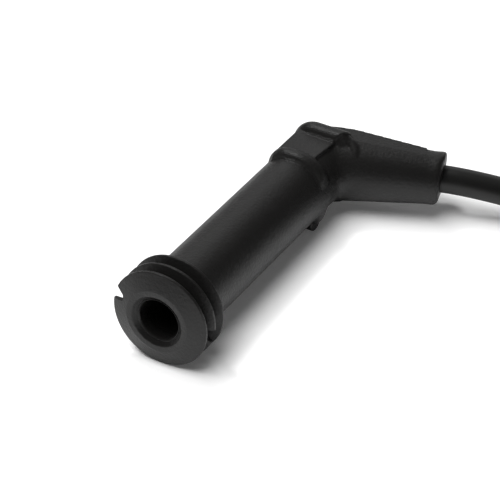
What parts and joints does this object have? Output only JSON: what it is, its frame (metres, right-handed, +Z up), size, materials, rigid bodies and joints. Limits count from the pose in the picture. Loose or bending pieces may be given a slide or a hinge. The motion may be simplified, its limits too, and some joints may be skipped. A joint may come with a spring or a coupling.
{
  "type": "spark plug wire",
  "caption": "Ignition lead with a moulded rubber elbow boot, sealing fins at the plug end, snap terminals, coiled 7 mm lead and a straight coil boot.",
  "frame": {"origin": "middle of the plug boot's box, on the surface that it lies on", "axes": "+Y along the plug boot's barrel away from its mouth, +X to the side that the lead leaves on, +Z up"},
  "size_m": [0.163, 0.1127, 0.0309],
  "materials": {
    "boot_rubber": "matte moulded rubber with a fine grain",
    "lead_jacket": "smooth matte extruded rubber",
    "terminal_brass": "pressed sheet, satin",
    "spring_steel": "drawn wire",
    "lead_core": "carbon loaded fibre core",
    "tie_plastic": "moulded nylon"
  },
  "bodies": {
    "root": {"plug_boot": "boot_rubber", "plug_terminal": "terminal_brass", "plug_terminal_clip": "spring_steel", "plug_lead_core": "lead_core", "plug_lead_end": "lead_jacket", "lead_run": "lead_jacket", "lead_coil": "lead_jacket", "lead_tail": "lead_jacket", "coil_tie": "tie_plastic", "coil_boot": "boot_rubber", "coil_terminal": "terminal_brass", "coil_terminal_clip": "spring_steel", "coil_lead_core": "lead_core", "coil_lead_end": "lead_jacket"}
  },
  "joints": []
}
